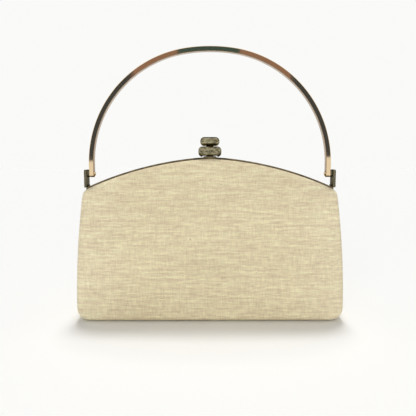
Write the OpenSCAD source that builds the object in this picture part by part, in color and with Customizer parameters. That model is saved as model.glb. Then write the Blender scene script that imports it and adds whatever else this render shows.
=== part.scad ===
// Framed evening bag: padded cloth body, two hinged frame halves, kiss-lock clasp, swinging arch handle.
// Millimetres. X runs along the bag, the front faces -Y, Z is up from the face that it stands on.

/* [Body] */
// Widest width of the covered body, a little above the base
body_w = 216; // [190:1:240]
// How much narrower the body is at its shoulders
shoulder_taper = 10.6; // [8:0.1:18]
// Height of the widest line above the base
widest_z = 16.5; // [15:0.5:30]
// Height of the frame's crown above the base
body_h = 132.2; // [115:0.1:150]
// Radius of the two arcs that make the frame's arch
arch_r = 274; // [240:1:320]
// Distance between the centres of those arcs, which brings the arch to a blunt point
arch_spread = 28; // [16:1:36]
// Depth of the body at its base, before the padding's crown
base_depth = 46; // [40:0.5:56]
// Depth of the body at its crown, before the padding's crown
top_depth = 20; // [18:0.5:23]
// Bulge of each face between base and crown
face_bulge = 1.5; // [0.8:0.1:2.5]
// Radius of the bottom corners
base_corner_r = 10; // [8:0.5:14]
// Radius of the shoulder corners
shoulder_r = 4; // [3:0.25:6]
// How far each cover wraps back round the sides
wrap = 8; // [7:0.25:9]

/* [Layers] */
// Thickness of the outer cloth
cover_t = 0.8; // [0.5:0.05:1]
// Thickness of the wadding at the panel's edge
padding_t = 1.8; // [1:0.1:2.2]
// Extra thickness of the wadding in the middle of a panel
padding_crown = 1.2; // [0.4:0.1:2]
// Width of the rounded edge of a padded panel
panel_edge = 5; // [3.5:0.25:6.5]
// Thickness of the stiffening board
board_t = 1.5; // [1:0.1:1.6]
// Thickness of the lining
lining_t = 0.6; // [0.4:0.05:0.8]
// Gap between neighbouring layers
layer_gap = 0.2; // [0.15:0.01:0.25]
// Clearance of soft pieces from pieces that move past them
soft_gap = 0.3; // [0.25:0.01:0.4]
// Height of the strip without board or wadding along the fold
fold_h = 17; // [16:0.5:20]

/* [Frame] */
// Depth of one frame half
rail_depth = 5.6; // [5:0.1:6]
// Thickness of the frame's web, which shows as the thin rim
rail_web = 1; // [0.8:0.05:1.1]
// Thickness of the frame's walls
rail_wall = 0.8; // [0.6:0.05:0.9]
// Height of the wall that the board lies against
outer_wall_h = 6; // [5:0.25:7]
// Height of the walls that meet at the parting line
inner_wall_h = 7; // [6:0.25:8]
// Gap between the two closed frame halves
parting_gap = 0.3; // [0.2:0.05:0.5]
// How far the frame's legs lie inside the covered sides
rail_inset = 2.9; // [2.4:0.05:3.2]
// Height of the hinge rivets above the base
hinge_z = 64; // [60:0.5:68]
// Radius of the eyes at the ends of the legs
hinge_eye_r = 4.2; // [3.6:0.1:4.6]
// Radius of the hinge rivets
hinge_pin_r = 1.5; // [1.2:0.05:1.8]
// Running clearance of rivets in their eyes
pin_clearance = 0.05; // [0.03:0.01:0.09]

/* [Lugs] */
// Thickness of the lug plates
lug_t = 2; // [1.3:0.05:2.2]
// Depth of a lug's upper plate
lug_depth = 10.8; // [9:0.2:12]
// Height of a lug's top above the handle's pivot
lug_rise = 3.4; // [3.2:0.1:5]
// Height of a lug's foot along the leg
lug_foot_h = 14; // [12:0.5:18]
// Depth of a lug's foot
lug_foot_depth = 4.6; // [4.2:0.1:5]
// Radius of a lug's corners
lug_corner_r = 1.4; // [0.8:0.1:2]
// Height of the bead pressed into a lug
lug_bead_h = 0.4; // [0.2:0.05:0.6]
// Width of the bead pressed into a lug
lug_bead_w = 2.2; // [1.6:0.1:2.6]
// Radius of the rivets that hold a lug
lug_rivet_r = 0.9; // [0.7:0.05:1.1]

/* [Handle] */
// Depth of the handle's pivots below the frame's crown
pivot_drop = 13.7; // [12:0.1:15]
// Height of the handle's straight legs above the pivots
handle_leg_h = 8; // [4:0.5:20]
// Radius of the handle's haunches as a share of its half width
haunch_share = 0.945; // [0.8:0.005:0.97]
// Radius of the handle's crown as a share of its half width
crown_share = 1.34; // [1.1:0.01:1.6]
// Thickness of the washers between the handle and the lugs
washer_t = 1.4; // [0.8:0.05:1.6]
// Thickness of the handle's bar
bar_t = 4; // [3.2:0.1:4.4]
// Depth of the handle's bar
bar_depth = 5.6; // [4.8:0.1:6.4]
// Bevel along the bar's edges
bar_bevel = 0.5; // [0.3:0.05:0.8]
// Radius of the handle's rivets
handle_pin_r = 1.3; // [1:0.05:1.5]
// Radius of the domed rivet heads
handle_head_r = 2; // [1.7:0.1:2.3]
// Rise of the domed rivet heads
handle_head_h = 1.1; // [0.8:0.05:1.4]

/* [Clasp] */
// Length of the front knob
front_knob_l = 18.6; // [16:0.2:21]
// Radius of the front knob
front_knob_r = 4.2; // [3.6:0.1:4.4]
// Length of the rear knob
rear_knob_l = 15.6; // [13:0.2:18]
// Radius of the rear knob
rear_knob_r = 3.7; // [3.2:0.1:4]
// Radius of the knobs' rounded ends
knob_end_r = 3.2; // [2.4:0.1:3.2]
// Gap between the two knobs
knob_gap = 0.3; // [0.25:0.05:0.5]
// Width of the clasp's base plates
clasp_plate_w = 10.6; // [9:0.2:13]
// Thickness of the clasp's base plates
clasp_plate_t = 0.8; // [0.5:0.05:1]
// Width of the rear knob's arm
clasp_arm_w = 6; // [5:0.25:8]
// Thickness of the rear knob's arm
clasp_arm_t = 1.4; // [1.1:0.05:1.7]
// Radius of the tenons that carry the knobs
tenon_r = 1; // [0.7:0.05:1.1]

/* [Pocket] */
// Width of the slip pocket on the rear lining
pocket_w = 92; // [70:2:110]
// Height of the slip pocket
pocket_h = 56; // [40:1:60]
// Height of the pocket's lower edge above the base
pocket_z = 28; // [22:1:32]

/* [Hidden] */
$fn = 96;

// Overrun of every cut past the face that it goes through
over = 1;
cloth = [0.84, 0.79, 0.65];
lining_cloth = [0.80, 0.75, 0.62];
board_grey = [0.62, 0.60, 0.56];
wadding = [0.93, 0.92, 0.88];
pewter = [0.53, 0.50, 0.41];
gold = [0.80, 0.66, 0.42];

// Centre of the arch's right half, which lies left of the middle
arch_c = [-arch_spread / 2, body_h - sqrt(arch_r * arch_r - arch_spread * arch_spread / 4)];

// The shoulders are where the sides meet the arch
shoulder_w = body_w - shoulder_taper;
shoulder_z = arch_c[1] + sqrt(arch_r * arch_r - pow((shoulder_w + arch_spread) / 2, 2));

// Side arc and face arc, as centres and radii
side_drop = (body_w - shoulder_w) / 2;
side_h = shoulder_z - widest_z;
side_r = (side_h * side_h + side_drop * side_drop) / (2 * side_drop);
side_c = [body_w / 2 - side_r, widest_z];
face_fall = (base_depth - top_depth) / 2;
face_chord = norm([face_fall, body_h]);
face_r = (face_chord * face_chord / 4 + face_bulge * face_bulge) / (2 * face_bulge);
face_c = [
    (base_depth + top_depth) / 4 - (face_r - face_bulge) * body_h / face_chord,
    body_h / 2 - (face_r - face_bulge) * face_fall / face_chord
];

// Half width and half depth of the covered body at a height
function half_width(z) = side_c[0] + sqrt(side_r * side_r - (z - side_c[1]) * (z - side_c[1]));
function half_depth(z) = face_c[0] + sqrt(face_r * face_r - (z - face_c[1]) * (z - face_c[1]));

// The panel folds at the hinge's level
fold_low_z = hinge_z - fold_h / 2;
fold_high_z = hinge_z + fold_h / 2;

// Where the frame's legs end, just above their eyes
leg_clearance = 1;
leg_end_z = hinge_z + hinge_eye_r + leg_clearance;

// Insets of the layers, counted from the outer cloth's surface
padding_in = cover_t + layer_gap;
board_in = padding_in + padding_t + layer_gap;
lining_in = board_in + board_t + layer_gap;
room_in = lining_in + lining_t;
// The covers start under the frame's rim and just above the face that the bag stands on
cover_top_in = rail_web + soft_gap;
cover_lift = 0.4;
// Where the padded edge has turned far enough for the board behind it
board_edge_in = 2.4;
// The lining stops under the frame's outer wall
lining_edge_in = outer_wall_h - rail_web;

// The covers end beside the frame, and lower down they wrap the sides by a set length
rim_level = 20;
function cover_rim(z) = max(rail_depth + soft_gap, half_depth(max(z, rim_level)) - wrap);
base_strip = cover_rim(0) - soft_gap;

// Centre of a fillet inside two arcs, and inside the side arc and the base line
function between(c1, r1, c2, r2) =
    let (d = norm(c2 - c1), u = (c2 - c1) / d, t = (r1 * r1 - r2 * r2 + d * d) / (2 * d))
    c1 + u * t + [-u[1], u[0]] * sqrt(r1 * r1 - t * t);
function shoulder_c(side_in, arch_in, r) = between(side_c, side_r - side_in - r, arch_c, arch_r - arch_in - r);
function foot_c(side_in, base_in, r) =
    [side_c[0] + sqrt(pow(side_r - side_in - r, 2) - pow(base_in + r - widest_z, 2)), base_in + r];
least_r = 0.5;
function eased(r, by) = max(r - by, least_r);
function angle_at(c, p) = atan2(p[1] - c[1], p[0] - c[0]);
function on_arc(c, r, a) = c + r * [cos(a), sin(a)];
function arc(c, r, from, to, steps) = [for (i = [0:steps]) on_arc(c, r, from + (to - from) * i / steps)];

// Outline of the body seen from the front, drawn in by separate insets
big_arc_fn = 720;
fillet_steps = 8;
// The fillet's first and last chords run on past the outline by a share of their length
chord_overrun_share = 0.25;
module fillet_cut(c, r, from, to, outside) {
    line = arc(c, r, from, to, fillet_steps);
    n = fillet_steps;
    first = line[0] + (line[0] - line[1]) * chord_overrun_share;
    last = line[n] + (line[n] - line[n - 1]) * chord_overrun_share;
    polygon(concat([first], [for (i = [1:n - 1]) line[i]], [last, outside]));
}
// The two arcs of the arch meet over the middle
module under_arch(r) {
    intersection() {
        translate(arch_c)
            circle(r, $fn = big_arc_fn);
        mirror([1, 0])
            translate(arch_c)
                circle(r, $fn = big_arc_fn);
    }
}
module body_outline(side_in, arch_in, base_in) {
    top_r = eased(shoulder_r, side_in);
    low_r = eased(base_corner_r, base_in);
    sc = shoulder_c(side_in, arch_in, top_r);
    fc = foot_c(side_in, base_in, low_r);
    side_angle = angle_at(side_c, sc);
    arch_angle = angle_at(arch_c, sc);
    low_angle = angle_at(side_c, fc);
    difference() {
        intersection() {
            under_arch(arch_r - arch_in);
            translate(side_c)
                circle(side_r - side_in, $fn = big_arc_fn);
            mirror([1, 0])
                translate(side_c)
                    circle(side_r - side_in, $fn = big_arc_fn);
            translate([-body_w, base_in])
                square([2 * body_w, body_h]);
        }
        for (side = [0, 1])
            mirror([side, 0]) {
                fillet_cut(sc, top_r, side_angle, arch_angle, sc + 2 * top_r * [1, 1]);
                fillet_cut(fc, low_r, low_angle, -90, fc + low_r * [2, -1] - [0, over]);
            }
    }
}

// A flat outline stood up in the XZ plane, between two depths
module stand(y0, y1) {
    translate([0, y1, 0])
        rotate([90, 0, 0])
            linear_extrude(y1 - y0)
                children();
}

module height_slice(z0, z1) {
    intersection() {
        children();
        translate([-body_w, -body_w, z0])
            cube([2 * body_w, 2 * body_w, z1 - z0]);
    }
}
module rear() {
    mirror([0, 1, 0])
        children();
}
module left() {
    mirror([1, 0, 0])
        children();
}

// Points of the covered outline for lofts, from the base's middle round the right side and back
foot_steps = 4;
side_steps = 5;
shoulder_steps = 2;
arch_steps = 6;
base_shares = [0, 0.35, 0.7];
function half_contour(inset) =
    let (
        base_in = cover_lift + inset,
        arch_in = cover_top_in + inset,
        low_r = eased(base_corner_r, inset),
        top_r = eased(shoulder_r, inset),
        fc = foot_c(inset, base_in, low_r),
        sc = shoulder_c(inset, arch_in, top_r),
        low = angle_at(side_c, fc),
        high = angle_at(side_c, sc),
        over_top = angle_at(arch_c, sc),
        middle = acos(-arch_c[0] / (arch_r - arch_in))
    )
    concat(
        [for (s = base_shares) [fc[0] * s, base_in]],
        arc(fc, low_r, -90, low, foot_steps),
        [for (i = [1:side_steps - 1]) on_arc(side_c, side_r - inset, low + (high - low) * i / side_steps)],
        arc(sc, top_r, high, over_top, shoulder_steps),
        [for (i = [1:arch_steps])
            on_arc(arch_c, arch_r - arch_in, over_top + (middle - over_top) * i / arch_steps)]
    );
function contour(inset) =
    let (right = half_contour(inset), n = len(right))
    concat(right, [for (i = [n - 2:-1:1]) [-right[i][0], right[i][1]]]);

// One ring of a loft: an inset outline lifted by a share of the way from a back depth to a front depth,
// and then its middle point
function back_depth(z, layer) = layer < 0 ? cover_rim(z) : half_depth(z) - layer;
function ring(outline_in, front_in, back_layer, lift_share, crown_share) =
    let (line = contour(outline_in), middle = (line[0] + line[len(line) / 2]) / 2)
    [
        for (p = concat(line, [middle]))
            let (
                back = back_depth(p[1], back_layer),
                front = half_depth(p[1]) - front_in + padding_crown * crown_share
            )
            [p[0], -(back + (front - back) * lift_share), p[1]]
    ];
// Closes a list of rings to a solid; each ring ends with its middle point
module loft(rings) {
    n = len(rings[0]) - 1;
    m = len(rings);
    middles = [rings[0][n], rings[m - 1][n]];
    points = concat([for (r = rings) for (i = [0:n - 1]) r[i]], middles);
    faces = concat(
        [for (i = [0:n - 1]) [m * n, i, (i + 1) % n]],
        [for (k = [0:m - 2]) for (i = [0:n - 1]) for (f = [0, 1])
            let (a = k * n + i, b = k * n + (i + 1) % n)
            f == 0 ? [a, a + n, b + n] : [a, b + n, b]],
        [for (i = [0:n - 1]) [m * n + 1, (m - 1) * n + (i + 1) % n, (m - 1) * n + i]]
    );
    polyhedron(points, faces);
}

// The padded face: its rounded edge turns in steps, then its crown rises in rings
edge_angles = [0, 30, 60, 90];
crown_in = [10, 32];
crown_shares = [0.6, 1];
function edge_rings(inset, front_in, back_layer, width) = [
    for (a = edge_angles) ring(inset + width * (1 - cos(a)), front_in, back_layer, sin(a), 0)
];
function crown_rings(front_in, back_layer) = [
    for (i = [0:len(crown_in) - 1])
        ring(panel_edge + crown_in[i], front_in, back_layer, 1, crown_shares[i])
];
function backwards(list) = [for (i = [len(list) - 1:-1:0]) list[i]];

// Cloth of one panel, a shallow tray that is open towards the middle of the bag
on_rim = -1;
module panel_cover() {
    outer = concat(edge_rings(0, 0, on_rim, panel_edge), crown_rings(0, on_rim));
    inner = concat(edge_rings(cover_t, cover_t, on_rim, panel_edge - cover_t), crown_rings(cover_t, on_rim));
    color(cloth)
        loft(concat(backwards(outer), inner));
}
// Wadding of one panel, crowned in front and flush with the board behind
padding_setback = 2.4;
padding_edge = 2.4;
pad_back = padding_in + padding_t;
pad_in = padding_in + padding_setback;
module panel_padding() {
    front = concat(
        edge_rings(pad_in, padding_in, pad_back, padding_edge),
        crown_rings(padding_in, pad_back)
    );
    back = [for (w = [pad_in + padding_edge, panel_edge + crown_in[1]]) ring(w, pad_back, pad_back, 0, 0)];
    color(wadding)
        loft(concat(backwards(front), back));
}
// A sheet of even thickness that follows the curved face
sheet_rings = [0, 14, 30];
module panel_sheet(outline_in, layer, t) {
    front = [for (w = sheet_rings) ring(outline_in + w, layer, layer, 1, 0)];
    back = [for (w = sheet_rings) ring(outline_in + w, layer + t, layer + t, 1, 0)];
    loft(concat(backwards(front), back));
}
module panel_board() {
    color(board_grey)
        panel_sheet(board_edge_in, board_in, board_t);
}
module panel_lining() {
    color(lining_cloth)
        panel_sheet(lining_edge_in, lining_in, lining_t);
}

// Base: one cloth strip over the bottom and its corners, a board and its lining
module base_strip_between(z_in, t, top, half) {
    stand(-half, half)
        intersection() {
            difference() {
                body_outline(z_in, z_in, z_in);
                body_outline(z_in + t, z_in + t, z_in + t);
            }
            translate([-body_w, 0])
                square([2 * body_w, top]);
        }
}
base_board_t = 1.8;
base_board_setback = 1;
// Room for the covers' turned-under hems below the base board
hem_room = 0.5;
base_board_z = cover_lift + cover_t + hem_room;
base_board_half = half_depth(0) - room_in - 3 * layer_gap;
base_flat_half = half_width(base_corner_r) - base_corner_r - base_board_setback;
module base_plate(z, t) {
    translate([-base_flat_half, -base_board_half, z])
        cube([2 * base_flat_half, 2 * base_board_half, t]);
}
module base_cover() {
    color(cloth)
        base_strip_between(0, cover_t, base_corner_r, base_strip);
}
module base_board() {
    color(board_grey)
        base_plate(base_board_z, base_board_t);
}
module base_lining() {
    color(lining_cloth)
        base_plate(base_board_z + base_board_t + layer_gap, lining_t);
}

// The front panel is cut in three: fixed below the fold, cloth alone along it, and moving above it
module below_fold() {
    height_slice(-over, fold_low_z)
        children();
}
module along_fold() {
    height_slice(fold_low_z + layer_gap, fold_high_z - layer_gap)
        children();
}
module above_fold() {
    height_slice(fold_high_z, body_h)
        children();
}
module front_cover_lower() {
    below_fold()
        panel_cover();
}
module front_cover_fold() {
    along_fold()
        panel_cover();
}
module front_cover_upper() {
    above_fold()
        panel_cover();
}
module front_padding_lower() {
    below_fold()
        panel_padding();
}
module front_padding_upper() {
    above_fold()
        panel_padding();
}
module front_board_lower() {
    below_fold()
        panel_board();
}
module front_board_upper() {
    above_fold()
        panel_board();
}
module front_lining_lower() {
    below_fold()
        panel_lining();
}
module front_lining_fold() {
    along_fold()
        panel_lining();
}
module front_lining_upper() {
    above_fold()
        panel_lining();
}
module rear_cover() {
    rear()
        panel_cover();
}
module rear_padding() {
    rear()
        panel_padding();
}
module rear_board() {
    rear()
        panel_board();
}
module rear_lining() {
    rear()
        panel_lining();
}
pocket_steps = 8;
module lining_pocket() {
    levels = [for (i = [0:pocket_steps]) pocket_z + pocket_h * i / pocket_steps];
    outer = [for (z = levels) [half_depth(z) - room_in - layer_gap, z]];
    inner = [for (p = backwards(outer)) p - [lining_t, 0]];
    color(lining_cloth)
        translate([-pocket_w / 2, 0, 0])
            rotate([90, 0, 90])
                linear_extrude(pocket_w)
                    polygon(concat(outer, inner));
}

// Gusset: a cloth wall between the panels, flat at the base and folded ever deeper towards the top
gusset_t = 0.8;
gusset_drop = 5.6;
gusset_top = shoulder_z - gusset_drop;
gusset_base = base_corner_r + soft_gap;
gusset_joint = [fold_low_z, leg_end_z];
base_pleat = 2.5;
top_pleat = 24;
function pleat(z) = base_pleat + (top_pleat - base_pleat) * (z - gusset_base) / (gusset_top - gusset_base);
function gentle(t) = t * t * (3 - 2 * t);
function joined(z) =
    gentle(min(1, max(0, (z - gusset_joint[0]) / (gusset_joint[1] - gusset_joint[0]))));
wall_in = cover_t + soft_gap + gusset_t;
mitre_share = 0.5;
rail_in = rail_inset + rail_web + inner_wall_h + soft_gap + gusset_t;
pleat_shares = [1 / 3, 2 / 3];
// Middle line of the gusset at a height, from the front lining to the pleat's tip
function gusset_line(z) =
    let (
        x = half_width(z),
        rim = cover_rim(z) + gusset_t,
        corner = [x - wall_in, -rim],
        tip = [x - wall_in - pleat(z), 0],
        low = [for (s = pleat_shares) corner + (tip - corner) * s],
        high = [[x - rail_in, -(rail_depth + soft_gap + gusset_t)], [x - rail_in, -rail_depth / 2]]
    )
    [
        [x - wall_in, -(half_depth(z) - room_in - gusset_t)],
        corner,
        low[0] + (high[0] - low[0]) * joined(z),
        low[1] + (high[1] - low[1]) * joined(z),
        tip - [joined(z) * gusset_t, 0]
    ];
function whole_line(half) = concat(half, [for (i = [len(half) - 2:-1:0]) [half[i][0], -half[i][1]]]);
function unit(v) = v / norm(v);
function side_step(line, i, t) =
    let (
        n = len(line) - 1,
        a = unit(line[min(i + 1, n)] - line[max(i, 0)] + (i == n ? line[n] - line[n - 1] : [0, 0])),
        b = unit(line[max(i, 1)] - line[max(i, 1) - 1]),
        c = unit(a + b)
    )
    line[i] + t * [-c[1], c[0]] / max(mitre_share, c * a);
function gusset_ring(z) =
    let (line = whole_line(gusset_line(z)), n = len(line))
    concat(
        [for (i = [0:n - 1]) let (p = side_step(line, i, gusset_t / 2)) [p[0], p[1], z]],
        [for (i = [n - 1:-1:0]) let (p = side_step(line, i, -gusset_t / 2)) [p[0], p[1], z]]
    );
module gusset_loft(z0, z1, steps) {
    rings = [for (k = [0:steps]) gusset_ring(z0 + (z1 - z0) * k / steps)];
    n = len(rings[0]);
    half = n / 2;
    points = [for (r = rings) for (p = r) p];
    ends = [for (k = [0, steps]) for (i = [0:half - 2]) for (f = [0, 1])
        let (a = k * n + i, b = k * n + n - 1 - i)
        k == 0 ? (f == 0 ? [a, a + 1, b - 1] : [a, b - 1, b]) : (f == 0 ? [b - 1, a + 1, a] : [b, b - 1, a])];
    walls = [for (k = [0:steps - 1]) for (i = [0:n - 1]) for (f = [0, 1])
        let (a = k * n + i, b = k * n + (i + 1) % n)
        f == 0 ? [a, b + n, b] : [a, a + n, b + n]];
    polyhedron(points, concat(ends, walls));
}
module gusset_lower() {
    color(cloth)
        gusset_loft(gusset_base, fold_low_z, 4);
}
module gusset_upper() {
    color(cloth)
        gusset_loft(fold_low_z + layer_gap, gusset_top, 7);
}
module right_gusset() {
    gusset_lower();
}
module left_gusset() {
    left()
        gusset_lower();
}
module right_gusset_fold() {
    gusset_upper();
}
module left_gusset_fold() {
    left()
        gusset_upper();
}

// Frame half: a channel bent round the arch and down both sides, with an eye at each end
eye_gap = 0.2;
eye_t = 1.2;
hinge_x = half_width(hinge_z) - rail_inset;
rear_eye_x = [hinge_x - rail_web + eye_gap / 2, hinge_x];
front_eye_x = [hinge_x - rail_web - eye_gap / 2 - eye_t, hinge_x - rail_web - eye_gap / 2];
eye_tab_top = leg_end_z + hinge_eye_r;
module frame_outline(depth) {
    body_outline(rail_inset + depth, depth, -over);
}
// The channel's outer wall stands back under the web's edge
rail_lip = 0.5;
module rail_half() {
    y_in = parting_gap / 2;
    wall_y = rail_depth - rail_lip;
    difference() {
        stand(-rail_depth, -y_in)
            intersection() {
                difference() {
                    frame_outline(0);
                    frame_outline(inner_wall_h);
                }
                translate([-body_w, leg_end_z])
                    square([2 * body_w, body_h]);
            }
        stand(rail_wall - wall_y, -y_in - rail_wall)
            frame_outline(rail_web);
        stand(-rail_depth - over, -wall_y)
            frame_outline(rail_web);
        stand(-wall_y - rail_lip / 2, -rail_depth / 2)
            frame_outline(outer_wall_h);
    }
}
// An eye turns about the rivet and reaches up to its leg's web
module hinge_eye(x, bore_r) {
    difference() {
        union() {
            translate([x[0], 0, hinge_z])
                rotate([0, 90, 0])
                    cylinder(h = x[1] - x[0], r = hinge_eye_r);
            translate([x[0], -rail_depth + rail_wall, hinge_z])
                cube([x[1] - x[0], rail_depth - rail_wall - parting_gap / 2, eye_tab_top - hinge_z]);
        }
        translate([x[0] - over, 0, hinge_z])
            rotate([0, 90, 0])
                cylinder(h = x[1] - x[0] + 2 * over, r = bore_r);
    }
}
clasp_hole_y = -rail_depth / 2;
module clasp_hole(r) {
    translate([0, clasp_hole_y, body_h - inner_wall_h])
        cylinder(h = inner_wall_h + over, r = r);
}
module front_frame() {
    color(pewter) {
        difference() {
            rail_half();
            clasp_hole(tenon_r + pin_clearance);
        }
        hinge_eye(front_eye_x, hinge_pin_r + pin_clearance);
        left()
            hinge_eye(front_eye_x, hinge_pin_r + pin_clearance);
    }
}
// Places of the lugs, which stand on the rear half's legs
lug_x = half_width(shoulder_z) - rail_inset + eye_gap;
lug_step = 1;
lug_plate_z = shoulder_z + lug_step;
pivot_z = body_h - pivot_drop;
lug_top_z = pivot_z + lug_rise;
lug_foot_z = lug_plate_z - lug_foot_h;
lug_foot_y = rail_depth / 2;
lug_rivet_shares = [0.25, 0.7];
lug_rivet_zs = [for (s = lug_rivet_shares) lug_foot_z + (lug_plate_z - lug_foot_z) * s];
module lug_rivet_holes(r) {
    for (z = lug_rivet_zs)
        translate([half_width(z) - rail_inset - inner_wall_h, lug_foot_y, z])
            rotate([0, 90, 0])
                cylinder(h = 2 * inner_wall_h, r = r);
}
module rear_frame() {
    color(pewter)
        difference() {
            union() {
                rear()
                    rail_half();
                rear()
                    hinge_eye(rear_eye_x, hinge_pin_r);
                rear()
                    left()
                        hinge_eye(rear_eye_x, hinge_pin_r);
            }
            rear()
                clasp_hole(tenon_r + pin_clearance);
            lug_rivet_holes(lug_rivet_r);
            left()
                lug_rivet_holes(lug_rivet_r);
        }
}
// Hinge rivet: a shank through both eyes with a flat head on each side
hinge_head_r = 2.4;
hinge_head_h = 0.6;
module hinge_rivet() {
    color(pewter)
        translate([front_eye_x[0] - eye_gap / 2, 0, hinge_z])
            rotate([0, 90, 0]) {
                cylinder(h = rear_eye_x[1] - front_eye_x[0] + eye_gap / 2, r = hinge_pin_r);
                translate([0, 0, -hinge_head_h])
                    cylinder(h = hinge_head_h, r = hinge_head_r);
                translate([0, 0, rear_eye_x[1] - front_eye_x[0] + eye_gap / 2])
                    cylinder(h = hinge_head_h, r = hinge_head_r);
            }
}
module right_hinge_rivet() {
    hinge_rivet();
}
module left_hinge_rivet() {
    left()
        hinge_rivet();
}

// Lugs: upright plates that carry the handle, with a foot riveted to the outside of the rear leg
module rounded_plate(w, h, r) {
    translate([0, r])
        square([w, h - 2 * r]);
    translate([r, 0])
        square([w - 2 * r, h]);
    for (x = [r, w - r])
        for (y = [r, h - r])
            translate([x, y])
                circle(r);
}
module lug_blank() {
    translate([lug_x, 0, 0])
        rotate([90, 0, 90])
            linear_extrude(lug_t)
                translate([-lug_depth / 2, lug_plate_z])
                    rounded_plate(lug_depth, lug_top_z - lug_plate_z, lug_corner_r);
    translate([lug_x + lug_t, 0, lug_plate_z + lug_corner_r])
        linear_extrude(lug_top_z - lug_plate_z - 2 * lug_corner_r)
            for (y = [-lug_depth / 4, lug_depth / 4])
                intersection() {
                    translate([lug_bead_h - lug_bead_w, y])
                        circle(lug_bead_w);
                    translate([-lug_t / 2, y - lug_bead_w])
                        square([2 * lug_bead_w, 2 * lug_bead_w]);
                }
    stand(lug_foot_y - lug_foot_depth / 2, lug_foot_y + lug_foot_depth / 2)
        intersection() {
            difference() {
                translate(side_c)
                    circle(side_r - rail_inset + lug_t, $fn = big_arc_fn);
                translate(side_c)
                    circle(side_r - rail_inset, $fn = big_arc_fn);
            }
            translate([0, lug_foot_z])
                square([body_w, lug_plate_z + lug_t - lug_foot_z]);
        }
}
module lug() {
    color(pewter)
        difference() {
            lug_blank();
            translate([lug_x - over, 0, pivot_z])
                rotate([0, 90, 0])
                    cylinder(h = lug_t + lug_bead_h + 2 * over, r = handle_pin_r);
            lug_rivet_holes(lug_rivet_r);
        }
}
module right_lug() {
    lug();
}
module left_lug() {
    left()
        lug();
}
lug_head_r = 1.4;
lug_head_h = 0.4;
// The leg leans, so its rivets' flat heads stand off by this much
lug_head_lean = 0.25;
module lug_rivet_pair() {
    grip = rail_web + lug_t + 2 * lug_head_lean;
    for (z = lug_rivet_zs)
        translate([half_width(z) - rail_inset - rail_web - lug_head_lean, lug_foot_y, z])
            rotate([0, 90, 0]) {
                cylinder(h = grip, r = lug_rivet_r);
                for (end = [-lug_head_h, grip])
                    translate([0, 0, end])
                        cylinder(h = lug_head_h, r = lug_head_r);
            }
}
module lug_rivets() {
    color(gold) {
        lug_rivet_pair();
        left()
            lug_rivet_pair();
    }
}

// Handle: a bevelled flat bar bent to a three-centred arch, with an eye at each foot
pin_play = 0.1;
spring_z = pivot_z + handle_leg_h;
handle_half = lug_x - washer_t - pin_play;
handle_crown_r = handle_half * crown_share;
haunch_r = handle_half * haunch_share;
haunch_c = [handle_half - haunch_r, spring_z];
crown_c = [0, spring_z - sqrt(pow(handle_crown_r - haunch_r, 2) - pow(handle_half - haunch_r, 2))];
haunch_angle = angle_at(crown_c, haunch_c);
// Corners of the bar's bevelled section, as distances inwards and backwards from its outer front edge
bar_corners = [
    [0, bar_bevel], [bar_bevel, 0], [bar_t - bar_bevel, 0], [bar_t, bar_bevel],
    [bar_t, bar_depth - bar_bevel], [bar_t - bar_bevel, bar_depth], [bar_bevel, bar_depth],
    [0, bar_depth - bar_bevel]
];
bar_points = concat(bar_corners, [[bar_t / 2, bar_depth / 2]]);
function bar_ring(c, r, a) = [
    for (q = bar_points)
        let (p = on_arc(c, r - q[0], a))
        [p[0], q[1] - bar_depth / 2, p[1]]
];
function bar_turn(c, r, from, to, steps) = [for (i = [0:steps]) bar_ring(c, r, from + (to - from) * i / steps)];
haunch_steps = 26;
crown_steps = 12;
bar_end_z = pivot_z - handle_leg_h;
module handle_bar() {
    right = bar_turn(haunch_c, haunch_r, 0, haunch_angle, haunch_steps);
    top = bar_turn(crown_c, handle_crown_r, haunch_angle, 180 - haunch_angle, crown_steps);
    end = bar_turn([-haunch_c[0], haunch_c[1]], haunch_r, 180 - haunch_angle, 180, haunch_steps);
    foot = [for (side = [1, -1]) [
        for (q = bar_points) [side * (handle_half - q[0]), q[1] - bar_depth / 2, bar_end_z]
    ]];
    loft(concat(
        [foot[0]],
        [for (i = [0:haunch_steps - 1]) right[i]],
        top,
        [for (i = [1:haunch_steps]) end[i]],
        [foot[1]]
    ));
}
module handle_foot_trim() {
    difference() {
        translate([handle_half - bar_t - over, -bar_depth, bar_end_z - over])
            cube([bar_t + 2 * over, 2 * bar_depth, handle_leg_h + over]);
        translate([handle_half - bar_t - 2 * over, 0, pivot_z])
            rotate([0, 90, 0])
                cylinder(h = bar_t + 4 * over, r = bar_depth / 2);
    }
}
module handle_bore() {
    translate([handle_half - bar_t - over, 0, pivot_z])
        rotate([0, 90, 0])
            cylinder(h = bar_t + 2 * over, r = handle_pin_r + pin_clearance);
}
module handle() {
    color(gold)
        difference() {
            handle_bar();
            for (side = [0, 1])
                mirror([side, 0, 0]) {
                    handle_foot_trim();
                    handle_bore();
                }
        }
}
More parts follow.
